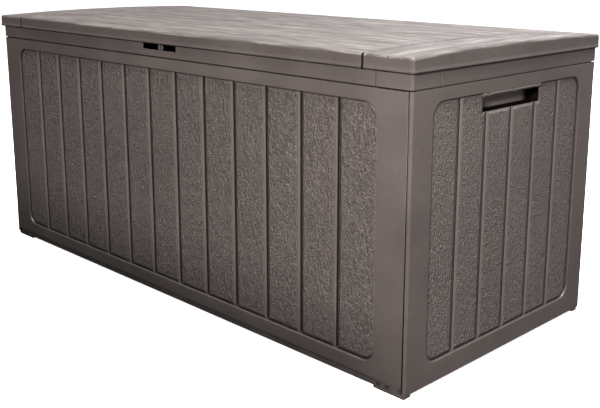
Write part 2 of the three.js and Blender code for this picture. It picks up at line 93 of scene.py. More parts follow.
# Half a groove between two slats, as (distance from its middle, depth), outermost first.
LONG_GROOVE = ((6.8, 0.0), (5.4, 0.35), (4.0, 1.1), (2.8, 1.9), (1.9, 2.3), (1.6, 2.7),
               (1.4, 5.0), (1.1, 5.4), (0.0, 5.4))
END_GROOVE = ((5.4, 0.0), (4.2, 0.2), (3.2, 0.5), (2.4, 0.9), (1.7, 1.2), (1.1, 1.5),
              (0.9, 3.0), (0.7, 3.3), (0.0, 3.3))
LONG_FIELD = {"half": 537.0, "bottom": 40.0, "top": 452.0, "slats": 13, "relief": 0.60,
              "groove": LONG_GROOVE, "groove_shade_width": 1.6}
END_FIELD = {"half": 211.0, "bottom": 42.0, "top": 454.0, "slats": 6, "relief": 0.36,
             "groove": END_GROOVE, "groove_shade_width": 1.0}
FIELD_DEPTH = 3.5
FIELD_RADIUS = 25.0
BEVEL = 1.8                      # width of the slope round a field
EDGE_SHADE = 0.75                # how dark the painted shade at the foot of that slope is
SEAM = 2.1                       # height of the shadow line under the rim
UPRIGHT_SEAM = 1.2               # width of the shadow line beside the corner strips
RAIL_GAP = 1.4                   # shadow line between a rim rail and the corner pieces
SLOT_HALF = 81.5
SLOT_BOTTOM = 422.5
SLOT_TOP = 448.5
SLOT_SKIN = 3.0                  # thickness of the wall's skin round the slot
CUP_SIDE = 15.0                  # how much wider, at each side, the hollow behind it is
CUP_DROP = 17.0                  # and how much deeper
CUP_BACK = (569.5, 571.0)        # |x| on the far side and on the hollow side of the cup's back
CUP_END_SHADE = (64.0, 79.0)     # |y| where the hollow's painted shade begins and where it is full
# z where the painted shade above the hollow's floor begins and where it is full
CUP_FLOOR_SHADE = (424.0, 422.2)
NOTCH_OPEN = 98.0                # the rim is open behind its skin this far from the middle


# ------------------------------------------------------------------ numbers in space
def smooth(t):
    """0 below 0, 1 above 1, an S curve between."""
    t = np.clip(t, 0.0, 1.0)
    return t * t * (3.0 - 2.0 * t)


def gradient_noise(x, y, seed):
    """Smooth noise of about -1 to 1 with features one unit across."""
    random = np.random.RandomState(seed)
    size = 512
    angles = random.uniform(0.0, 2.0 * math.pi, (size, size))
    xi = np.floor(x).astype(int)
    yi = np.floor(y).astype(int)
    xf = x - xi
    yf = y - yi

    def corner(dx, dy):
        angle = angles[(xi + dx) % size, (yi + dy) % size]
        return np.cos(angle) * (xf - dx) + np.sin(angle) * (yf - dy)

    sx = xf * xf * xf * (xf * (xf * 6.0 - 15.0) + 10.0)
    sy = yf * yf * yf * (yf * (yf * 6.0 - 15.0) + 10.0)
    low = corner(0, 0) * (1.0 - sx) + corner(1, 0) * sx
    high = corner(0, 1) * (1.0 - sx) + corner(1, 1) * sx
    return 1.5 * (low * (1.0 - sy) + high * sy)


def rough_relief(u, v, seed):
    """Height of the slats' rough-sawn relief: short strokes that lean and wander."""
    lean = 0.2 + 0.4 * gradient_noise(u / 60.0, v / 80.0, seed)
    along = v * np.cos(lean) + u * np.sin(lean)
    across = u * np.cos(lean) - v * np.sin(lean)
    strokes = gradient_noise(across / 3.6, along / 6.0, seed + 1)
    dots = gradient_noise(u / 3.4, v / 3.8, seed + 2)
    return strokes + dots


def wood_relief(along, across, seed):
    """Height of the lid's wood grain, drawn out along the plank."""
    wander = 8.0 * gradient_noise(along / 260.0, across / 60.0, seed)
    bands = gradient_noise(along / 170.0, (across + wander) / 10.0, seed + 1)
    fine = gradient_noise(along / 80.0, (across + wander) / 4.8, seed + 2)
    return 0.55 * bands + 0.45 * fine


# ------------------------------------------------------------------ places of grid lines
def quarter_offsets(radius, steps=6):
    """How far in from its side the points of a quarter round lie."""
    return [radius * (1.0 - math.cos(math.pi / 2.0 * i / steps)) for i in range(steps + 1)]


def spaced(low, high, step):
    """The places between low and high that divide the stretch into steps of about this size."""
    count = max(2, round((high - low) / step))
    return {round(place, 4) for place in np.linspace(low, high, count + 1)[1:-1].tolist()}


def lined_places(low, high, lines, profile, step):
    """Places between low and high: evenly spaced, and where the profile of each line bends."""
    reach = profile[0][0]
    places = {round(line + way * offset, 4) for line in lines for offset, _ in profile
              for way in (-1, 1)}
    edges = [low, *[line + way * reach for line in lines for way in (-1, 1)], high]
    for start, end in zip(edges[0::2], edges[1::2]):
        places |= spaced(start, end, step)
    return places


def groove_depth(places, lines, profile):
    """How far each place in a grid is from the nearest line, and the line's depth there."""
    away = np.abs(places[:, :, None] - np.array(lines)[None, None, :]).min(axis=2)
    inwards = np.array(profile)[::-1]
    return away, np.interp(away, inwards[:, 0], inwards[:, 1])


def rounded_places(edge, way, radius, steps=6):
    """Places on a quarter round that goes in from an edge, way being 1 or -1."""
    return {round(edge + way * offset, 4) for offset in quarter_offsets(radius, steps)}


# ------------------------------------------------------------------ skins
class Skin:
    """Points and faces of one closed surface. Loops are lists of point numbers."""

    def __init__(self):
        self.points = []
        self.painted_shades = []       # painted shade: 1 where a point lies deep in a groove, gap or joint, 0 elsewhere
        self.roughs = []         # 1 where the surface is rough-sawn, 0 where it is smooth
        self.faces = []
        self.looks = []          # material number of each face, filled up by set_look

    def set_look(self, look):
        """Gives the faces added since the last call this material number."""
        self.looks += [look] * (len(self.faces) - len(self.looks))

    def add(self, points, painted_shade=0.0, rough=0.0):
        """Adds points. Their painted shade and their roughness are one number for all, or one for
        each point.
        """
        start = len(self.points)
        self.points.extend(tuple(float(c) for c in p) for p in points)
        count = len(self.points) - start
        for values, value in ((self.painted_shades, painted_shade), (self.roughs, rough)):
            values.extend([value] * count if isinstance(value, float) else value)
        return list(range(start, len(self.points)))

    def bridge(self, a, b, closed=True):
        count = len(a)
        for i in range(count if closed else count - 1):
            j = (i + 1) % count
            self.faces.append((a[i], a[j], b[j], b[i]))

    def bridge_all(self, loops, closed=True):
        for a, b in zip(loops, loops[1:]):
            self.bridge(a, b, closed)

    def extend(self, loop, points, painted_shade=0.0):
        """Adds a loop of points and joins it to the loop given. Returns the new loop."""
        made = self.add(points, painted_shade)
        self.bridge(loop, made)
        return made

    def add_grid(self, u, v, depth, painted_shade, rough=0.0):
        """Adds a grid of points, given as arrays, and returns their numbers as a grid."""
        spots = np.stack((u, v, depth), axis=2).reshape(-1, 3)
        rough = rough if isinstance(rough, float) else rough.ravel().tolist()
        return np.array(self.add(spots, painted_shade.ravel().tolist(), rough)).reshape(u.shape)

    def fill(self, outer, holes=(), axes=(0, 1)):
        """Fills between an outer loop and holes in it, seen along the third axis."""
        numbers = []
        edges = []
        for loop in (outer, *holes):
            start = len(numbers)
            count = len(loop)
            numbers += loop
            edges += [(start + i, start + (i + 1) % count) for i in range(count)]
        flat = np.array([[self.points[n][axes[0]], self.points[n][axes[1]]] for n in numbers])
        result = delaunay_2d_cdt([Vector(p) for p in flat], edges, [], 0, 1e-7)
        spots = np.array([list(p) for p in result[0]])
        source = [origin[0] for origin in result[3]]
        starts = flat[[a for a, _ in edges]]
        ends = flat[[b for _, b in edges]]
        for triangle in result[2]:
            x, y = spots[list(triangle)].mean(axis=0)
            spans = (starts[:, 1] > y) != (ends[:, 1] > y)
            a = starts[spans]
            b = ends[spans]
            crossings = a[:, 0] + (y - a[:, 1]) * (b[:, 0] - a[:, 0]) / (b[:, 1] - a[:, 1])
            if (crossings > x).sum() % 2:
                self.faces.append(tuple(numbers[source[i]] for i in triangle))


def grid_quads(numbers):
    """The four corners of each cell of a grid of point numbers."""
    return np.stack((numbers[:-1, :-1], numbers[1:, :-1], numbers[1:, 1:], numbers[:-1, 1:]), axis=2)


def grid_border(numbers):
    """The point numbers round the edge of a grid, as a loop."""
    last_u = numbers.shape[0] - 1
    last_v = numbers.shape[1] - 1
    border = [*numbers[:last_u, 0], *numbers[last_u, :last_v], *numbers[last_u:0:-1, last_v],
              *numbers[0, last_v:0:-1]]
    return [int(n) for n in border]


def rounded_loop(u0, u1, v0, v1, radius, steps=5):
    """Corner points of a rounded rectangle, the same number for every size."""
    points = []
    corners = ((u1, v0, -90), (u1, v1, 0), (u0, v1, 90), (u0, v0, 180))
    for u, v, start in corners:
        centre_u = u - radius if u == u1 else u + radius
        centre_v = v - radius if v == v1 else v + radius
        for i in range(steps + 1):
            angle = math.radians(start + 90.0 * i / steps)
            points.append((centre_u + radius * math.cos(angle),
                           centre_v + radius * math.sin(angle)))
    return points


def add_recess(skin, bounds, face, floor, radius, edge=1.2):
    """A hollow with rounded edges. Returns its mouth, a loop at the face."""
    u0, u1, v0, v1 = bounds
    way = math.copysign(1.0, floor - face)
    steps = ((0.0, 0.0), (0.35 * edge, 0.12 * edge), (0.8 * edge, 0.55 * edge), (edge, edge))
    loops = []
    for inset, drop in steps:
        loop = rounded_loop(u0 + inset, u1 - inset, v0 + inset, v1 - inset, radius)
        loops.append(skin.add([(u, v, face + way * drop) for u, v in loop]))
    inner = rounded_loop(u0 + edge + 0.3, u1 - edge - 0.3, v0 + edge + 0.3, v1 - edge - 0.3, radius)
    loops.append(skin.add([(u, v, floor) for u, v in inner]))
    skin.bridge_all(loops)
    skin.fill(loops[-1])
    return loops[0]


def add_object(name, data):
    made = bpy.data.objects.new(name, data)
    bpy.context.scene.collection.objects.link(made)
    return made


def make_object(name, skin, place, materials):
    """An object from a skin. place turns the (N, 3) array of points, in mm, into the frame."""
    skin.set_look(len(materials) - 1)
    points = place(np.array(skin.points)) * MM
    mesh = bpy.data.meshes.new(name)
    mesh.from_pydata(points.tolist(), [], skin.faces)
    mesh.polygons.foreach_set("material_index", skin.looks)
    bm = bmesh.new()
    bm.from_mesh(mesh)
    bmesh.ops.recalc_face_normals(bm, faces=bm.faces)
    bm.to_mesh(mesh)
    bm.free()
    mesh.polygons.foreach_set("use_smooth", [True] * len(mesh.polygons))
    # Painted shade and roughness go to the materials as point attributes.
    for label, values in (("painted_shade", skin.painted_shades), ("rough", skin.roughs)):
        mesh.attributes.new(label, "FLOAT", "POINT").data.foreach_set("value", values)
    for material in materials:
        mesh.materials.append(material)
    made = add_object(name, mesh)
    add_weighted_normals(made)
    return made


def add_weighted_normals(made):
    modifier = made.modifiers.new("weighted normals", "WEIGHTED_NORMAL")
    modifier.weight = 90
    modifier.keep_sharp = True


def finish_piece(made, body, slot, *nodes):
    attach(made, body)
    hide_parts(*nodes)
    return made


def side_placer(turns, half):
    """Puts a wall drawn as (across, up, inwards) on a side: 0 front, 1 right, 2 back, 3 left."""
    angle = turns * math.pi / 2.0
    cos, sin = round(math.cos(angle)), round(math.sin(angle))

    def place(points):
        across = points[:, 0]
        out = points[:, 2] - half
        return np.column_stack((across * cos - out * sin, across * sin + out * cos, points[:, 1]))
    return place


# ------------------------------------------------------------------ slatted walls
def field_inside(field):
    """Half length, bottom, top and corner radius of a field's sunken floor."""
    inset = BEVEL / 2.0
    return field["half"] - inset, field["bottom"] + inset, field["top"] - inset, FIELD_RADIUS - inset


def field_grooves(field):
    pitch = 2.0 * field["half"] / field["slats"]
    return [-field["half"] + i * pitch for i in range(1, field["slats"])]


def field_columns(field, step):
    """Across positions of the field's grid, fitted to its grooves and round corners."""
    half, _, _, radius = field_inside(field)
    places = lined_places(-half + radius, half - radius, field_grooves(field), field["groove"], step)
    for way in (-1, 1):
        places |= rounded_places(-way * half, way, radius, 10)
    return np.array(sorted(places))


def field_grid(field, step, slot):
    """Across and up positions of a field's points, as two arrays. The columns shorten where the
    corners are round, and a slot's edges fall on grid lines."""
    half, bottom, top, radius = field_inside(field)
    columns = field_columns(field, step)
    into = np.clip(np.minimum(columns + half, half - columns), 0.0, radius)
    rise = radius - np.sqrt(np.maximum(radius**2 - (radius - into)**2, 0.0))
    heights = [bottom, slot[1], slot[2], top] if slot else [bottom, top]
    rows = []
    for low, high in zip(heights, heights[1:]):
        count = max(1, round((high - low) / (step * 1.25)))
        rows += list(np.linspace(low, high, count + 1)[:-1])
    shares = (np.array(rows + [top]) - bottom) / (top - bottom)
    if slot:
        near = np.abs(columns[:, None] - np.array([-slot[0], slot[0]])[None, :]).argmin(axis=0)
        columns[near] = (-slot[0], slot[0])
    u = np.repeat(columns[:, None], len(shares), axis=1)
    v = (bottom + rise)[:, None] + (top - bottom - 2.0 * rise)[:, None] * shares[None, :]
    return u, v


def field_surface(field, u, v, seed, slot):
    """Depth, painted groove shade and roughness of a field's points."""
    half, bottom, top, radius = field_inside(field)
    away, groove = groove_depth(u, field_grooves(field), field["groove"])
    edge = np.minimum(half - np.abs(u), np.minimum(v - bottom, top - v))
    corner_u = np.maximum(np.abs(u) - (half - radius), 0.0)
    corner_v = np.maximum(np.abs(v - (bottom + top) / 2.0) - ((top - bottom) / 2.0 - radius), 0.0)
    edge = np.where((corner_u > 0) & (corner_v > 0), radius - np.hypot(corner_u, corner_v), edge)
    rough = smooth((away - 4.5) / 3.5) * smooth((edge - 0.5) / 4.0)
    if slot:
        out_u = np.abs(u) - slot[0]
        out_v = np.maximum(slot[1] - v, v - slot[2])
        rough = rough * smooth((np.maximum(out_u, out_v) - 0.8) / 3.0)
    depth = FIELD_DEPTH + groove - field["relief"] * rough_relief(u, v, seed) * rough
    # The groove bottoms and the field's edge are painted dark, a painted shade.
    groove_shade_width = field["groove_shade_width"]
    painted_shade = np.clip((1.6 * groove_shade_width - away) / (0.6 * groove_shade_width), 0.0, 1.0)
    painted_shade = np.maximum(painted_shade, np.where(edge < NEAR, EDGE_SHADE, 0.0))
    if slot:
        above_slot = (np.abs(u) < slot[0] + NEAR) & (v > slot[2] - NEAR)
        depth = np.where(above_slot, 0.0, depth)
        painted_shade = np.where(above_slot, 0.0, painted_shade)
    return depth, painted_shade, rough


def add_slope(skin, field, rim):
    """The slope from the edge of a field's floor up to the wall's face. Returns its top."""
    half, bottom, top, radius = field_inside(field)
    normals = []
    for n in rim:
        u, v, _ = skin.points[n]
        centre_u = min(max(u, -half + radius), half - radius)
        centre_v = min(max(v, bottom + radius), top - radius)
        normals.append(Vector((u - centre_u, v - centre_v)).normalized())
    # The slope's foot is painted dark, fading up the slope: a painted shade line round the field.
    slope_line = ((0.12, FIELD_DEPTH - 0.1, EDGE_SHADE), (0.3, 0.75 * FIELD_DEPTH, 0.7 * EDGE_SHADE),
                  (0.55, 1.2, 0.3 * EDGE_SHADE), (0.75, 0.35, 0.0), (1.0, 0.0, 0.0))
    loop = rim
    for share, depth, painted_shade in slope_line:
        points = []
        for n, normal in zip(rim, normals):
            u, v, own_depth = skin.points[n]
            points.append((u + normal.x * BEVEL * share, v + normal.y * BEVEL * share,
                           min(depth, own_depth)))
        loop = skin.extend(loop, points, painted_shade)
    return loop


def add_field(skin, field, seed, step, slot=None):
    """Adds a field's slatted floor and the slope round it. Returns the slope's outer loop.
    slot is the half length, bottom and top of a hand slot that is left open."""
    u, v = field_grid(field, step, slot)
    depth, painted_shade, rough = field_surface(field, u, v, seed, slot)
    numbers = skin.add_grid(u, v, depth, painted_shade, rough)
    is_open = np.zeros((u.shape[0] - 1, u.shape[1] - 1), dtype=bool)
    if slot:
        i0, i1 = (int(np.argmin(np.abs(u[:, 0] - side * slot[0]))) for side in (-1, 1))
        j0, j1 = (int(np.argmin(np.abs(v[i0] - z))) for z in slot[1:])
        is_open[i0:i1, j0:j1] = True
    skin.faces.extend(map(tuple, grid_quads(numbers)[~is_open].tolist()))
    skin.set_look(0)
    if slot:
        add_slot_walls(skin, grid_border(numbers[i0:i1 + 1, j0:j1 + 1]), slot)
    return add_slope(skin, field, grid_border(numbers))


def add_slot_walls(skin, ring, slot):
    """The hand slot's edges: a thin skin, with the hollow wider and deeper behind it. A station
    is its depth, how much wider and how much lower than the slot it is, and its painted shade."""
    loop = ring
    stations = ((0.35, -0.15, -0.15, 0.0), (SLOT_SKIN, -0.5, -0.5, 1.0),
                (SLOT_SKIN, CUP_SIDE, CUP_DROP, 1.0), (WALL - FIELD_DEPTH, CUP_SIDE, CUP_DROP, 1.0))
    for depth, wider, lower, painted_shade in stations:
        points = []
        for n in ring:
            u, v, own_depth = skin.points[n]
            near_face = depth < SLOT_SKIN
            if abs(u) > slot[0] - NEAR:
                u += math.copysign(wider, u)
            if v < slot[1] + NEAR:
                v -= lower
            elif v > slot[2] - NEAR:
                v -= 0.15 if near_face else 0.5
            points.append((u, v, depth + (own_depth if near_face else FIELD_DEPTH)))
        loop = skin.extend(loop, points, painted_shade)
    skin.slot_back = loop


def pocket_bounds(half, bottom, top, columns, rows, rib=5.0):
    """The (u0, u1, v0, v1) of each pocket in a grid of them with ribs between."""
    width = (2.0 * half - (columns - 1) * rib) / columns
    height = (top - bottom - (rows - 1) * rib) / rows
    for i in range(columns):
        for j in range(rows):
            u = -half + i * (width + rib)
            v = bottom + j * (height + rib)
            yield u, u + width, v, v + height


def rectangle(half, bottom, top):
    """The corners of a rectangle about 0: bottom left and right, then top right and left."""
    return ((-half, bottom), (half, bottom), (half, top), (-half, top))


def make_long_wall(name, turns, seed, materials, breaks):
    """The front or back wall: slatted outside, ribbed inside, with a tongue into the rim.
    breaks are the (centre, reach) of the places where the rim is solid and the tongue stops."""
    skin = Skin()
    half = HALF_LENGTH - SIDE_WRAP - GAP - UPRIGHT_SEAM
    top = WALL_TOP - GAP
    slope = add_field(skin, LONG_FIELD, seed, LONG_STEP)
    loops = []
    # The wall's edges behind its face and its tongue are painted dark, a painted shade in the gaps
    # round the wall.
    for inset, depth, painted_shade in ((0.7, 0.0, 0.0), (0.25, 0.1, 0.0), (0.0, 0.5, 1.0),
                                 (0.0, TONGUE_OUT, 1.0)):
        corners = rectangle(half - inset, FRONT_BOTTOM + inset, top - SEAM - inset)
        loops.append(skin.add([(u, v, depth) for u, v in corners], painted_shade))
    skin.fill(loops[0], [slope])
    skin.bridge_all(loops)
    crest = [(half, TONGUE_TOP)]
    for centre, reach in reversed(breaks):
        high, low = centre + reach, centre - reach
        crest += [(high, TONGUE_TOP), (high, top), (low, top), (low, TONGUE_TOP)]
    crest = skin.add([(u, v, TONGUE_OUT) for u, v in [*crest, (-half, TONGUE_TOP)]], 1.0)
    left_low, right_low, right_top, left_top = loops[-1]
    skin.fill([left_top, right_top, *crest])
    front = [left_low, right_low, right_top, *crest, left_top]
    back = skin.extend(front, [(*skin.points[n][:2], WALL) for n in front])
    pockets = [add_recess(skin, bounds, WALL, POCKET_FLOOR, POCKET_RADIUS)
               for bounds in pocket_bounds(INNER_X - 8.0, FRONT_BOTTOM + PLAIN_BAND,
                                           WALL_TOP - PLAIN_BAND, 7, 3)]
    skin.fill(back, pockets)
    return make_object(name, skin, side_placer(turns, HALF_DEPTH), materials)


def make_end_wall(name, turns, seed, materials):
    """An end wall, with the hand slot, wrapping round the upright corners."""
    skin = Skin()
    slope = add_field(skin, END_FIELD, seed, END_STEP, slot=(SLOT_HALF, SLOT_BOTTOM, SLOT_TOP))
    top = WALL_TOP - SEAM
    turn_steps = 5
    strip_half = HALF_DEPTH - CORNER_RADIUS

    def plan(inset, side):
        """The outline from the inner end of the corner strip to the flat face."""
        points = [(side * (HALF_DEPTH - inset), SIDE_WRAP)]
        for i in range(1, turn_steps + 1):
            angle = math.radians(90.0 * i / turn_steps)
            points.append((side * (strip_half + (CORNER_RADIUS - inset) * math.cos(angle)),
                           CORNER_RADIUS - (CORNER_RADIUS - inset) * math.sin(angle)))
        return points

    stations = ((SIDE_BOTTOM, 0.8), (SIDE_BOTTOM + 0.3, 0.3), (SIDE_BOTTOM + 0.9, 0.0),
                (SIDE_BOTTOM + 20.0, 0.0), (top - 0.9, 0.0), (top - 0.3, 0.2), (top, 0.7))
    columns = {}
    for side in (-1, 1):
        columns[side] = []
        for z, inset in stations:
            # The wall's top edge under the rim is painted dark, a painted shade.
            painted_shade = 1.0 if z == top else 0.0
            columns[side].append(skin.add([(u, z, d) for u, d in plan(inset, side)], painted_shade))
        skin.bridge_all(columns[side], closed=False)
    field_band = 3
    for k in range(len(stations) - 1):
        left, right = columns[-1], columns[1]
        quad = [left[k][-1], right[k][-1], right[k + 1][-1], left[k + 1][-1]]
        if k == field_band:
            skin.fill(quad, [slope])
        else:
            skin.faces.append(tuple(quad))
    inside = INNER_Y - GAP
    low_inner = skin.add([(side * inside, SIDE_BOTTOM, d) for side in (-1, 1)
                          for d in (SIDE_WRAP, WALL)])
    top_inner = skin.add([(side * inside, top, d) for side in (-1, 1)
                          for d in (SIDE_WRAP, TONGUE_OUT)])
    tongue = skin.add([(side * inside, TONGUE_TOP, d) for side in (-1, 1)
                       for d in (TONGUE_OUT, WALL)])
    skin.fill([*columns[-1][0], *reversed(columns[1][0]), low_inner[2], low_inner[3],
               low_inner[1], low_inner[0]], axes=(0, 2))
    skin.fill([*columns[-1][-1], *reversed(columns[1][-1]), top_inner[2], top_inner[3],
               top_inner[1], top_inner[0]], axes=(0, 2))
    skin.faces.append((top_inner[1], top_inner[3], tongue[2], tongue[0]))
    skin.faces.append((tongue[0], tongue[2], tongue[3], tongue[1]))
    for side, n in ((-1, 0), (1, 2)):
        skin.fill([low_inner[n], low_inner[n + 1], tongue[n + 1], tongue[n], top_inner[n + 1],
                   top_inner[n]], axes=(2, 1))
        strip = [column[0] for column in columns[side]]
        skin.fill([*strip, top_inner[n], low_inner[n]])
    pockets = [add_recess(skin, bounds, WALL, POCKET_FLOOR, POCKET_RADIUS)
               for bounds in pocket_bounds(inside - 10.0, SIDE_BOTTOM + PLAIN_BAND,
                                           STAY_BAND_BOTTOM, 3, 2)]
    back = [low_inner[1], low_inner[3], tongue[3], tongue[1]]
    skin.fill(back, [*pockets, skin.slot_back])
    return make_object(name, skin, side_placer(turns, HALF_LENGTH), materials)


# ------------------------------------------------------------------ lid
LID_BOTTOM = RIM_TOP + GAP
LID_MIDDLE = -OVERHANG / 2.0
LID_HALF = HALF_DEPTH + OVERHANG / 2.0
LID_ROUND = 4.5
LIP_IN = LID_ROUND - 0.4         # how far the lip under the lid's edge is set back
LIP = 1.2                        # and its height
FLARE = 1.0                      # how far the lid's lower edge stands out
JOINT = 510.0                    # where the deck stops and the end caps begin
JOINT_GAP = 4.0
JOINT_ROUND = 1.2
PLANK_PITCH = 105.0
PLANK_EDGES = [LID_MIDDLE + i * PLANK_PITCH for i in (-1.5, -0.5, 0.5, 1.5)]
PLANK_PROFILE = ((5.0, 0.0), (3.6, 0.05), (2.2, 0.3), (1.4, 0.8), (0.6, 1.4), (0.0, 1.5))
HINGE_PLACES = (-400.0, 0.0, 400.0)
HINGE_NOTCH = 32.0
BARREL_ROOM = 6.5
SCREW_OFFSETS = (-20.0, 20.0)    # from the middle of a hinge
SCREW_RISE = 14.0
SCREW_ROOM = 2.1                 # radius of its hole
SCREW_REACH = 8.8
LID_SKIN = 5.0
LID_RIB = 4.0
LID_RIM = 12.0                   # width of the solid edge round the pockets of the lid
DECK_BAYS = 8


def crown(y):
    return CROWN * (1.0 - ((y - LID_MIDDLE) / LID_HALF) ** 2)


def quarter_drop(distance, radius):
    """How far a quarter-round edge has dropped at a distance in from its side."""
    into = np.clip(radius - distance, 0.0, radius)
    return radius - np.sqrt(radius**2 - into**2)


# In the functions below, ends holds (x, way, is_round) for the low and the high end of a lid part:
# where it is, 1 or -1 for the way inwards, and whether it is the lid's end or meets a joint.
def lid_columns(ends, step):
    """X positions of the grid, close together where the ends are rounded off."""
    places = set()
    flat = []
    for edge, way, is_round in ends:
        radius = LID_ROUND if is_round else JOINT_ROUND
        places |= rounded_places(edge, way, radius)
        flat.append(edge + way * radius)
    return np.array(sorted(places | spaced(*flat, step)))


def lid_rows(front, back, step, grooves):
    """Y positions of the grid, close together at the rounded edges and the plank lines."""
    places = lined_places(front + LID_ROUND, back - LID_ROUND, grooves, PLANK_PROFILE, step)
    places |= rounded_places(front, 1, LID_ROUND) | rounded_places(back, -1, LID_ROUND)
    return np.array(sorted(places))


def lid_grid(front, back, step_x, step_y, ends, grooves):
    """X and Y of the top's points, as two arrays. The columns shorten at a round end."""
    xs = lid_columns(ends, step_x)
    ys = lid_rows(front, back, step_y, grooves)
    rise = np.zeros(len(xs))
    for edge, way, is_round in ends:
        if is_round:
            rise += quarter_drop(way * (xs - edge), LID_ROUND)
    shares = (ys - front) / (back - front)
    x = np.repeat(xs[:, None], len(ys), axis=1)
    y = (front + rise)[:, None] + (back - front - 2.0 * rise)[:, None] * shares[None, :]
    return x, y


def lid_surface(x, y, front, back, ends, grooves, seed):
    """Height of the top's points, and how deep each lies in a plank line. The grain runs along
    the planks of the deck and across the end caps."""
    to_side = np.minimum(y - front, back - y)
    drop = quarter_drop(to_side, LID_ROUND)
    edge_distance = to_side.copy()
    for edge, way, is_round in ends:
        inward = way * (x - edge)
        if is_round:
            short_x = np.maximum(LID_ROUND - inward, 0.0)
            short_y = np.maximum(LID_ROUND - to_side, 0.0)
            short = np.hypot(short_x, short_y)
            drop = LID_ROUND - np.sqrt(np.maximum(LID_ROUND**2 - short**2, 0.0))
            edge_distance = np.minimum(edge_distance, inward)
        else:
            drop = np.maximum(drop, quarter_drop(inward, JOINT_ROUND))
            edge_distance = np.minimum(edge_distance, inward + LID_ROUND - JOINT_ROUND)
    relief = wood_relief(x, y, seed) if grooves else wood_relief(y, x, seed)
    fade = smooth((edge_distance - LID_ROUND + 2.0) / 3.0)
    groove = np.zeros_like(y)
    if grooves:
        away, groove = groove_depth(y, grooves, PLANK_PROFILE)
        fade = fade * smooth((away - 2.0) / 3.0)
    z = LID_EDGE_TOP + crown(y) - drop - groove + (relief - 0.5) * fade
    return np.minimum(z, LID_EDGE_TOP + CROWN - 0.02), groove


def lid_outward(x, y, front, back, ends):
    """The way in which the lid's edge faces at a point of its border, seen from above. It is zero
    where the part meets a joint and at the back, where the edge stays upright."""
    out_x = 0.0
    is_at_joint = not any(is_round for _, _, is_round in ends)
    for edge, way, is_round in ends:
        inward = way * (x - edge)
        if is_round:
            out_x += way * min(inward - LID_ROUND, 0.0)
        elif inward < 1e-3:
            is_at_joint = True
    out_y = min(y - front - LID_ROUND, 0.0) + max(y - back + LID_ROUND, 0.0)
    if is_at_joint and abs(abs(out_y) - LID_ROUND) >= 1e-3:
        out_y = 0.0
    out = Vector((out_x, out_y))
    out = out.normalized() if out.length > 1e-6 else out
    return out * (1.0 - max(out.y, 0.0))


def joint_painted_shade(x, ends):
    """The painted shade on an end that faces a joint: 1 there, 0 elsewhere."""
    return float(any(not is_round and way * (x - edge) < 2.0 * NEAR for edge, way, is_round in ends))


def add_lid_edge(skin, border, front, back, ends):
    """The lid's edge below the rounding, flared at its foot, and the lip under it."""
    outs = [lid_outward(*skin.points[n][:2], front, back, ends) for n in border]
    stations = ((0.0, LID_EDGE_TOP - LID_ROUND - 2.0), (0.0, 508.5), (0.25, 505.8), (0.75, 503.8),
                (FLARE, 502.6), (0.8, 501.6), (0.2, LID_BOTTOM + LIP), (-LIP_IN, LID_BOTTOM + LIP),
                (-LIP_IN, LID_BOTTOM))
    loop = border
    for offset, height in stations:
        points = []
        for n, out in zip(border, outs):
            x, y, _ = skin.points[n]
            points.append((x + out.x * offset, y + out.y * offset, height))
        loop = skin.extend(loop, points, [joint_painted_shade(point[0], ends) for point in points])
    return loop


def lid_pockets(x0, x1, front, back, ends):
    """The bounds and roof of each pocket between the ribs under a lid part."""
    margins = [LID_RIM if is_round else LID_RIB / 2.0 for _, _, is_round in ends]
    is_cap = any(is_round for _, _, is_round in ends)
    start = x0 + margins[0]
    bays = 1 if is_cap else DECK_BAYS
    bay = (x1 - margins[1] - start) / bays
    rows = [front + LID_RIM - FLARE, *PLANK_EDGES, back - LID_RIM]
    for row_low, row_high in zip(rows, rows[1:]):
        roof = LID_EDGE_TOP - LID_SKIN + min(crown(row_low), crown(row_high))
        for i in range(bays):
            low = start + i * bay
            yield (low + LID_RIB / 2.0, low + bay - LID_RIB / 2.0,
                   row_low + LID_RIB / 2.0, row_high - LID_RIB / 2.0), roof


def make_lid_part(name, x0, x1, seed, materials, round_low=False, round_high=False):
    """The deck, or an end cap when one of its ends is rounded. Closed, ribbed underneath.
    The first material is the top's, the second that of the edges and the underside."""
    skin = Skin()
    is_cap = round_low or round_high
    front = -HALF_DEPTH - OVERHANG + FLARE
    back = HALF_DEPTH
    ends = ((x0 + FLARE if round_low else x0, 1, round_low),
            (x1 - FLARE if round_high else x1, -1, round_high))
    steps = (2.2, 5.0) if is_cap else (5.0, 2.3)
    grooves = [] if is_cap else PLANK_EDGES
    x, y = lid_grid(front, back, *steps, ends, grooves)
    z, groove = lid_surface(x, y, front, back, ends, grooves, seed)
    # Plank grooves and the ends at a joint are painted dark, a painted shade.
    painted_shade = np.array([joint_painted_shade(place, ends) for place in x[:, 0]])[:, None]
    painted_shade = np.maximum(painted_shade, np.clip((groove - 0.9) / 0.5, 0.0, 1.0))
    numbers = skin.add_grid(x, y, z, painted_shade)
    skin.faces.extend(map(tuple, grid_quads(numbers).reshape(-1, 4).tolist()))
    skin.set_look(0)
    foot = add_lid_edge(skin, grid_border(numbers), front, back, ends)
    pockets = [add_recess(skin, bounds, LID_BOTTOM, roof, 6.0)
               for bounds, roof in lid_pockets(x0, x1, front, back, ends)]
    skin.fill(foot, pockets)
    return make_object(name, skin, lambda points: points, materials)


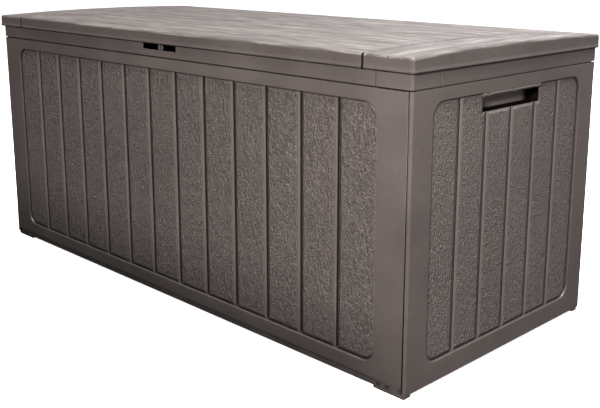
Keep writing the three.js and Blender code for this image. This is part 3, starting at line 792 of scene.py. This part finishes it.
# ------------------------------------------------------------------ pieces taken from the frame
def soften(node, width, segments=3, shorten=None):
    """A copy of a CAD node with its edges rounded off. shorten is an axis and how much each end
    is drawn in along it."""
    source = frame["nodes"][node]
    mesh = source.data.copy()
    bm = bmesh.new()
    bm.from_mesh(mesh)
    bmesh.ops.remove_doubles(bm, verts=bm.verts, dist=WELD * MM)
    bmesh.ops.dissolve_limit(bm, angle_limit=math.radians(1.0), verts=bm.verts, edges=bm.edges)
    bmesh.ops.recalc_face_normals(bm, faces=bm.faces)
    if shorten:
        axis, amount = shorten
        reach = max(abs(v.co[axis]) for v in bm.verts)
        for v in bm.verts:
            if abs(v.co[axis]) > reach - NEAR * MM:
                v.co[axis] -= math.copysign(amount * MM, v.co[axis])
    bm.to_mesh(mesh)
    bm.free()
    mesh.name = "soft_" + node
    mesh.materials.clear()
    for name in [a.name for a in mesh.attributes if a.domain == "CORNER" and not a.is_internal]:
        mesh.attributes.remove(mesh.attributes[name])
    made = add_object(mesh.name, mesh)
    mesh.polygons.foreach_set("use_smooth", [True] * len(mesh.polygons))
    bevel = made.modifiers.new("rounded edges", "BEVEL")
    bevel.width = width * MM
    bevel.segments = segments
    bevel.limit_method = "ANGLE"
    bevel.angle_limit = math.radians(35.0)
    bevel.harden_normals = False
    bevel.use_clamp_overlap = True
    add_weighted_normals(made)
    return made


def body_of(node):
    return frame["nodes"][node]["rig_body"]


def soften_all(nodes, width, material, slot, segments=3, shorten=None):
    """Softened copies of several nodes, each riding on its node's body."""
    for node in nodes:
        made = soften(node, width, segments, shorten)
        made.data.materials.append(material)
        finish_piece(made, body_of(node), slot, node)


def apply_modifiers(made):
    """Turns a piece into the mesh its modifiers make of it."""
    graph = bpy.context.evaluated_depsgraph_get()
    mesh = bpy.data.meshes.new_from_object(made.evaluated_get(graph))
    made.modifiers.clear()
    made.data = mesh


def box_and_rod_cutter(name, boxes, rods):
    """One mesh of boxes (x0, x1, y0, y1, z0, z1) and Y rods (x, z, radius, y0, y1), in mm."""
    bm = bmesh.new()
    for x0, x1, y0, y1, z0, z1 in boxes:
        made = bmesh.ops.create_cube(bm, size=1.0)["verts"]
        for v in made:
            v.co = Vector(((x0 + x1) / 2 + v.co.x * (x1 - x0), (y0 + y1) / 2 + v.co.y * (y1 - y0),
                           (z0 + z1) / 2 + v.co.z * (z1 - z0)))
    for x, z, radius, y0, y1 in rods:
        made = bmesh.ops.create_cone(bm, cap_ends=True, segments=20, radius1=radius,
                                     radius2=radius, depth=1.0)["verts"]
        for v in made:
            v.co = Vector((x + v.co.x, (y0 + y1) / 2 + v.co.z * (y1 - y0), z + v.co.y))
    bmesh.ops.recalc_face_normals(bm, faces=bm.faces)
    bmesh.ops.scale(bm, vec=(MM, MM, MM), verts=bm.verts)
    mesh = bpy.data.meshes.new(name)
    bm.to_mesh(mesh)
    bm.free()
    return add_object(name, mesh)


def cut(made, cutter):
    modifier = made.modifiers.new("cut", "BOOLEAN")
    modifier.operation = "DIFFERENCE"
    modifier.solver = "EXACT"
    modifier.object = cutter
    made.modifiers.move(len(made.modifiers) - 1, 0)
    apply_modifiers(made)
    bpy.data.objects.remove(cutter)
    add_weighted_normals(made)


# ------------------------------------------------------------------ materials
class Nodes:
    """Nodes added to a node tree. A value may be a number, a colour or another node's output."""

    def __init__(self, tree):
        self.tree = tree

    def node(self, kind, inputs=(), **settings):
        made = self.tree.nodes.new(kind)
        for key, value in settings.items():
            setattr(made, key, value)
        for key, value in inputs:
            self.put(value, made.inputs[key])
        return made

    def put(self, value, socket):
        if isinstance(value, bpy.types.NodeSocket):
            self.tree.links.new(value, socket)
        else:
            socket.default_value = value

    def math(self, operation, a, b):
        return self.node("ShaderNodeMath", enumerate((a, b)), operation=operation).outputs[0]

    def remap(self, value, low, high, to_low, to_high, **settings):
        inputs = enumerate((value, low, high, to_low, to_high))
        return self.node("ShaderNodeMapRange", inputs, **settings).outputs["Result"]


class Look(Nodes):
    """A node material under construction. Textures use object coordinates, in metres."""

    def __init__(self, name):
        self.material = bpy.data.materials.new(name)
        self.material.use_nodes = True
        super().__init__(self.material.node_tree)
        self.shader = self.tree.nodes["Principled BSDF"]
        self.coordinates = self.node("ShaderNodeTexCoord").outputs["Object"]

    def stretched(self, scale):
        inputs = [("Vector", self.coordinates), ("Scale", scale)]
        return self.node("ShaderNodeMapping", inputs).outputs["Vector"]

    def noise(self, scale, detail=3.0, stretch=(1.0, 1.0, 1.0), roughness=0.5):
        made = self.node("ShaderNodeTexNoise", [("Scale", scale), ("Detail", detail),
                                                ("Roughness", roughness)])
        self.put(self.stretched(stretch), made.inputs["Vector"])
        return made.outputs["Fac"]

    def mix(self, share, a, b):
        """Mixes two colours, share being 0 for the first and 1 for the second."""
        made = self.node("ShaderNodeMix", [(0, share)], data_type="RGBA")
        colours = [s for s in made.inputs if s.type == "RGBA"]
        for socket, value in zip(colours, (a, b)):
            self.put((*value, 1.0) if isinstance(value, tuple) else value, socket)
        return [s for s in made.outputs if s.type == "RGBA"][0]

    def colour(self, value):
        self.put(value, self.shader.inputs["Base Color"])

    def roughness(self, value):
        self.put(value, self.shader.inputs["Roughness"])

    def bump(self, height, distance):
        made = self.node("ShaderNodeBump", [("Distance", distance), ("Height", height)])
        self.put(made.outputs["Normal"], self.shader.inputs["Normal"])

    def painted_shade_colour(self, value):
        """The colour, darkened by painted shade in the bottom of the grooves, gaps and joints."""
        painted_shade = self.node("ShaderNodeAttribute", attribute_name="painted_shade").outputs["Fac"]
        self.colour(self.mix(painted_shade, value, RESIN_PAINTED_SHADE))

    def edges(self, low, high):
        """About 1 on sharp outward edges and 0 elsewhere."""
        pointiness = self.node("ShaderNodeNewGeometry").outputs["Pointiness"]
        return self.remap(pointiness, low, high, 0.0, 1.0)


RESIN_DARK = (0.0540, 0.0434, 0.0398)
RESIN_LIGHT = (0.0800, 0.0647, 0.0590)
# Painted highlight: the light colour of the lid's sharp edges and of the slats' specks.
RESIN_PAINTED_HIGHLIGHT = (0.135, 0.112, 0.103)
GRAIN_DARK = (0.043, 0.036, 0.0335)
GRAIN_LIGHT = (0.112, 0.096, 0.090)
# Painted shade: the colour of the bottom of grooves, gaps, joints and the hand slot's hollow.
RESIN_PAINTED_SHADE = (0.008, 0.0055, 0.005)


def toned(colour, tone):
    return tuple(channel * tone for channel in colour)


def cup_colour(look, body):
    """The colour in a hand slot's hollow: a painted shade, dark towards its ends and its floor,
    and plain on the far side of the cup."""
    spot = look.node("ShaderNodeSeparateXYZ", [(0, look.coordinates)])

    def between(value, limits):
        return look.remap(value, limits[0] * MM, limits[1] * MM, 0.0, 1.0)

    behind = look.math("ABSOLUTE", spot.outputs["X"], 0.0)
    body = look.mix(between(behind, CUP_BACK), RESIN_DARK, body)
    sideways = look.math("ABSOLUTE", spot.outputs["Y"], 0.0)
    to_end = between(sideways, CUP_END_SHADE)
    to_floor = between(spot.outputs["Z"], CUP_FLOOR_SHADE)
    return look.mix(look.math("MAXIMUM", to_end, to_floor), body, toned(RESIN_PAINTED_SHADE, 0.5))


def resin_look(name, stretch=(1.0, 1.0, 1.0), tone=1.0, in_cup=False):
    """Moulded brown-grey resin with a satin skin."""
    look = Look(name)
    cloud = look.noise(9.0, 3.0)
    fine = look.noise(420.0, 2.0, stretch, 0.6)
    share = look.math("ADD", look.remap(cloud, 0.3, 0.7, 0.0, 0.7),
                      look.remap(fine, 0.3, 0.7, -0.15, 0.45))
    body = look.mix(share, toned(RESIN_DARK, tone), toned(RESIN_LIGHT, tone))
    if in_cup:
        look.colour(cup_colour(look, body))
    else:
        look.painted_shade_colour(body)
    look.roughness(look.remap(look.noise(160.0, 4.0, stretch), 0.3, 0.7, 0.38, 0.52))
    look.bump(fine, 0.00004)
    look.shader.inputs["Specular IOR Level"].default_value = 0.1 if in_cup else 0.5
    return look.material


def slat_look(name, contrast, relief):
    """The rough-sawn slats: fine short strokes and specks, with smooth shoulders beside the
    grooves."""
    look = Look(name)
    is_rough = look.node("ShaderNodeAttribute", attribute_name="rough").outputs["Fac"]
    cloud = look.noise(9.0, 3.0)
    strokes = look.noise(300.0, 3.0, (1.0, 1.0, 0.35), 0.6)
    specks = look.noise(560.0, 2.0, (1.0, 1.0, 0.7))
    # The strokes that make the bump also lighten and darken the colour: a painted relief shade over
    # the slats' own random tone.
    share = look.math("ADD", look.remap(cloud, 0.3, 0.7, 0.28, 0.78),
                      look.math("MULTIPLY", is_rough,
                                look.remap(strokes, 0.35, 0.65, -contrast, contrast)))
    body = look.mix(share, RESIN_DARK, RESIN_LIGHT)
    # The specks' crests are painted light, a painted highlight.
    speck_highlight = look.math("MULTIPLY", is_rough,
                            look.remap(specks, 0.56, 0.68, 0.0, 1.2 * contrast))
    look.painted_shade_colour(look.mix(speck_highlight, body, RESIN_PAINTED_HIGHLIGHT))
    look.roughness(look.remap(strokes, 0.3, 0.7, 0.40, 0.56))
    height = look.math("ADD", strokes, look.math("MULTIPLY", specks, 0.5))
    look.bump(look.math("MULTIPLY", is_rough, height), relief)
    return look.material


def grain_look(name, along_x):
    """Lid resin with embossed wood grain drawn out along one axis."""
    def drawn(share):
        return (share, 1.0, 1.0) if along_x else (1.0, share, 1.0)

    look = Look(name)
    broad = look.noise(55.0, 5.0, drawn(0.05), 0.7)
    flecks = look.noise(170.0, 3.0, drawn(0.07), 0.6)
    lines = look.noise(330.0, 3.0, drawn(0.05), 0.65)
    share = look.math("ADD", look.remap(broad, 0.38, 0.62, -0.1, 0.7),
                      look.remap(flecks, 0.36, 0.64, -0.5, 0.6))
    body = look.mix(share, GRAIN_DARK, GRAIN_LIGHT)
    # The lid's sharp edges are painted light, a painted highlight, and its grooves and joints a
    # painted shade.
    look.painted_shade_colour(look.mix(look.edges(0.53, 0.62), body, RESIN_PAINTED_HIGHLIGHT))
    look.roughness(look.remap(flecks, 0.36, 0.64, 0.56, 0.32))
    height = look.math("ADD", look.math("MULTIPLY", lines, 0.4), flecks)
    look.bump(height, 0.0010)
    return look.material


def dark_resin_look():
    """Coarser resin with some dust on it, for the floor, the feet, the hinges and the stays."""
    look = Look("base_resin")
    fine = look.noise(350.0, 3.0)
    dust = look.noise(14.0, 4.0)
    body = look.mix(fine, (0.045, 0.037, 0.033), (0.075, 0.063, 0.057))
    look.colour(look.mix(look.remap(dust, 0.5, 0.75, 0.0, 0.35), body, (0.16, 0.145, 0.13)))
    look.roughness(look.remap(fine, 0.3, 0.7, 0.45, 0.62))
    look.bump(fine, 0.00012)
    return look.material


def steel_look():
    look = Look("zinc_steel")
    spangle = look.noise(500.0, 2.0)
    smudge = look.noise(60.0, 4.0)
    look.colour(look.mix(spangle, (0.42, 0.42, 0.43), (0.58, 0.58, 0.59)))
    look.roughness(look.remap(smudge, 0.3, 0.7, 0.28, 0.48))
    look.bump(spangle, 0.00003)
    look.shader.inputs["Metallic"].default_value = 1.0
    return look.material


smooth_resin = resin_look("smooth_resin", tone=0.87)
border_resin = resin_look("border_resin", stretch=(1.0, 1.0, 0.25), tone=0.87)
edge_resin = resin_look("edge_resin", stretch=(0.3, 0.3, 1.0), tone=0.76)
# The cup's resin is a lighter copy of the resin, a painted light on the hollow's back wall.
cup_resin = resin_look("cup_resin", tone=1.6, in_cup=True)
long_slat_resin = slat_look("long_slat_resin", contrast=1.05, relief=0.0075)
end_slat_resin = slat_look("end_slat_resin", contrast=0.90, relief=0.0065)
deck_resin = grain_look("deck_resin", along_x=True)
cap_resin = grain_look("cap_resin", along_x=False)
base_resin = dark_resin_look()
zinc_steel = steel_look()

# ------------------------------------------------------------------ the box
long_wall_looks = (long_slat_resin, border_resin)
end_wall_looks = (end_slat_resin, border_resin)
front_wall = make_long_wall("front_wall", 0, 11, long_wall_looks, [(0.0, NOTCH_OPEN + 2.0)])
finish_piece(front_wall, "box", "resin", "front_panel")
back_wall = make_long_wall("back_wall", 2, 23, long_wall_looks,
                           [(x, HINGE_NOTCH + 4.0) for x in HINGE_PLACES])
finish_piece(back_wall, "box", "resin", "back_panel")
finish_piece(make_end_wall("right_wall", 1, 37, end_wall_looks), "box", "resin", "end_panel_right")
finish_piece(make_end_wall("left_wall", 3, 41, end_wall_looks), "box", "resin", "end_panel_left")

soften_all(["rim_rail_front", "rim_rail_back"], 0.5, smooth_resin, "resin", shorten=(0, RAIL_GAP))
soften_all(["rim_rail_left", "rim_rail_right"], 0.5, smooth_resin, "resin", shorten=(1, RAIL_GAP))
corner_nodes = [f"rim_corner_{a}_{b}" for a in ("front", "back") for b in ("left", "right")]
soften_all(corner_nodes, 0.5, smooth_resin, "resin")
soften_all(["rim_lock_tab", "lid_lock_tab"], 0.5, smooth_resin, "resin")
soften_all(["handle_cup_left", "handle_cup_right"], 0.6, cup_resin, "resin")
soften_all(["floor_panel"], 0.8, base_resin, "dark_resin", 2)
soften_all([f"foot_{a}_{b}" for a in ("front", "back") for b in ("left", "right")], 1.0,
           base_resin, "dark_resin")

# ------------------------------------------------------------------ the lid
deck_half = JOINT - JOINT_GAP / 2.0
deck = make_lid_part("lid_planks", -deck_half, deck_half, 53, [deck_resin, edge_resin])
past = 4.0                       # how far a cutter stands out of what it cuts
hinge_rooms = [(x - HINGE_NOTCH, x + HINGE_NOTCH, HALF_DEPTH - BARREL_ROOM, HALF_DEPTH + past,
                RIM_TOP - past, RIM_TOP + BARREL_ROOM) for x in HINGE_PLACES]
screw_holes = [(x + offset, RIM_TOP + SCREW_RISE, SCREW_ROOM, HALF_DEPTH - SCREW_REACH,
                HALF_DEPTH + past) for x in HINGE_PLACES for offset in SCREW_OFFSETS]
cut(deck, box_and_rod_cutter("deck_cutter", hinge_rooms, screw_holes))
finish_piece(deck, "lid", "resin", "lid_deck")
end_x = HALF_LENGTH + OVERHANG
cap_start = JOINT + JOINT_GAP / 2.0
left_cap = make_lid_part("lid_cap_left", -end_x, -cap_start, 61, [cap_resin, edge_resin],
                         round_low=True)
finish_piece(left_cap, "lid", "resin", "lid_end_cap_left")
right_cap = make_lid_part("lid_cap_right", cap_start, end_x, 67, [cap_resin, edge_resin],
                          round_high=True)
finish_piece(right_cap, "lid", "resin", "lid_end_cap_right")

# ------------------------------------------------------------------ hinges and stays
for number in (1, 2, 3):
    soften_all([f"hinge_box_leaf_{number}", f"hinge_lid_leaf_{number}"], 0.5, base_resin,
               "dark_resin")
    soften_all([f"hinge_pin_{number}"], 0.4, zinc_steel, "steel")
    screws = [f"{part}_leaf_screw_{number}_{side}" for part in ("box", "lid")
              for side in ("left", "right")]
    soften_all(screws, 0.4, zinc_steel, "steel")
for side in ("left", "right"):
    soften_all([f"stay_arm_{side}", f"stay_stud_{side}", f"stay_bracket_{side}"], 0.5,
               base_resin, "dark_resin")
    soften_all([f"stay_pivot_{side}"], 0.3, zinc_steel, "steel")

# ------------------------------------------------------------------ camera
scene = bpy.context.scene
CAMERA_PITCH = 12.39             # degrees below level
CAMERA_YAW = 45.48
lens = bpy.data.cameras.new("camera")
lens.lens = 55.0
lens.sensor_width = 36.0
lens.shift_y = -0.0867
camera = add_object("camera", lens)
camera.location = (1.400, -1.270, 0.669)
camera.rotation_euler = (math.radians(90.0 - CAMERA_PITCH), 0.0, math.radians(CAMERA_YAW))
scene.camera = camera


# ------------------------------------------------------------------ studio
def make_floor():
    """A pale floor, just below the feet so that the two don't flicker."""
    bm = bmesh.new()
    bmesh.ops.create_grid(bm, x_segments=24, y_segments=24, size=14.0)
    mesh = bpy.data.meshes.new("studio_floor")
    bm.to_mesh(mesh)
    bm.free()
    look = Look("floor_paint")
    look.colour(look.mix(look.noise(3.0, 2.0), (0.93, 0.93, 0.93), (0.95, 0.95, 0.95)))
    look.shader.inputs["Roughness"].default_value = 0.9
    look.shader.inputs["Specular IOR Level"].default_value = 0.1
    look.shader.inputs["Emission Color"].default_value = (1.0, 1.0, 1.0, 1.0)
    look.shader.inputs["Emission Strength"].default_value = 0.85
    mesh.materials.append(look.material)
    floor = add_object("studio_floor", mesh)
    floor.location.z = -0.4 * MM
    floor.visible_diffuse = False
    floor.visible_glossy = False


def add_light(name, place, target, size, power, in_gloss=True):
    """An area light. in_gloss says whether surfaces mirror it."""
    light = bpy.data.lights.new(name, "AREA")
    light.shape = "RECTANGLE"
    light.size, light.size_y = size
    light.energy = power
    made = add_object(name, light)
    made.location = place
    made.rotation_euler = (Vector(target) - Vector(place)).to_track_quat("-Z", "Y").to_euler()
    made.visible_glossy = in_gloss


def make_flag():
    """A studio flag in front of the box. No camera and no reflection sees it: it only keeps part
    of the key light off the foot of the front wall."""
    mesh = bpy.data.meshes.new("studio_flag")
    left, right, y = -2.4, 0.88, -0.80
    left_height, right_height = 0.55, 0.43
    corners = [(left, y, 0.0), (right, y, 0.0), (right, y, right_height), (left, y, left_height)]
    mesh.from_pydata(corners, [], [(0, 1, 2, 3)])
    look = Look("flag_cloth")
    look.colour(look.mix(look.noise(40.0), (0.01, 0.01, 0.01), (0.02, 0.02, 0.02)))
    mesh.materials.append(look.material)
    flag = add_object("studio_flag", mesh)
    for kind in ("camera", "diffuse", "glossy", "transmission", "volume_scatter"):
        setattr(flag, "visible_" + kind, False)


make_floor()
make_flag()
add_light("key", (1.30, -1.56, 0.97), (0.5, -0.2, 0.25), (0.35, 0.20), 88.0, in_gloss=False)
add_light("side", (3.3, 0.0, 0.4), (0.6, 0.0, 0.25), (0.8, 0.8), 18.0)
add_light("top", (0.75, -0.2, 3.0), (0.1, 0.0, 0.3), (2.0, 2.0), 345.0)
add_light("back", (-1.6, 3.2, 1.3), (-0.2, 0.2, 0.2), (2.4, 1.6), 120.0, in_gloss=False)


def make_world():
    """A dim room with a bright backdrop behind and to the right, and white where it is seen."""
    world = bpy.data.worlds.new("studio")
    scene.world = world
    world.use_nodes = True
    nodes = Nodes(world.node_tree)
    direction = nodes.node("ShaderNodeTexCoord").outputs["Generated"]
    towards = nodes.node("ShaderNodeVectorMath", enumerate((direction, (-0.15, 0.97, 0.20))),
                         operation="DOT_PRODUCT").outputs["Value"]
    backdrop = nodes.remap(towards, 0.70, 1.0, 0.0, 1.2, interpolation_type="SMOOTHSTEP")
    height = nodes.node("ShaderNodeSeparateXYZ", [(0, direction)]).outputs["Z"]
    above = nodes.remap(height, -0.15, 0.12, 0.25, 1.0)
    lit = nodes.math("MULTIPLY", nodes.math("ADD", backdrop, 0.25), above)
    seen = nodes.node("ShaderNodeLightPath").outputs["Is Camera Ray"]
    strength = nodes.node("ShaderNodeMix", [(0, seen), (2, lit), (3, 1.0)]).outputs[0]
    background = world.node_tree.nodes["Background"].inputs
    nodes.put(strength, background["Strength"])
    nodes.put((1.0, 1.0, 1.0, 1.0), background["Color"])


make_world()
scene.view_settings.view_transform = "Standard"
scene.view_settings.look = "None"
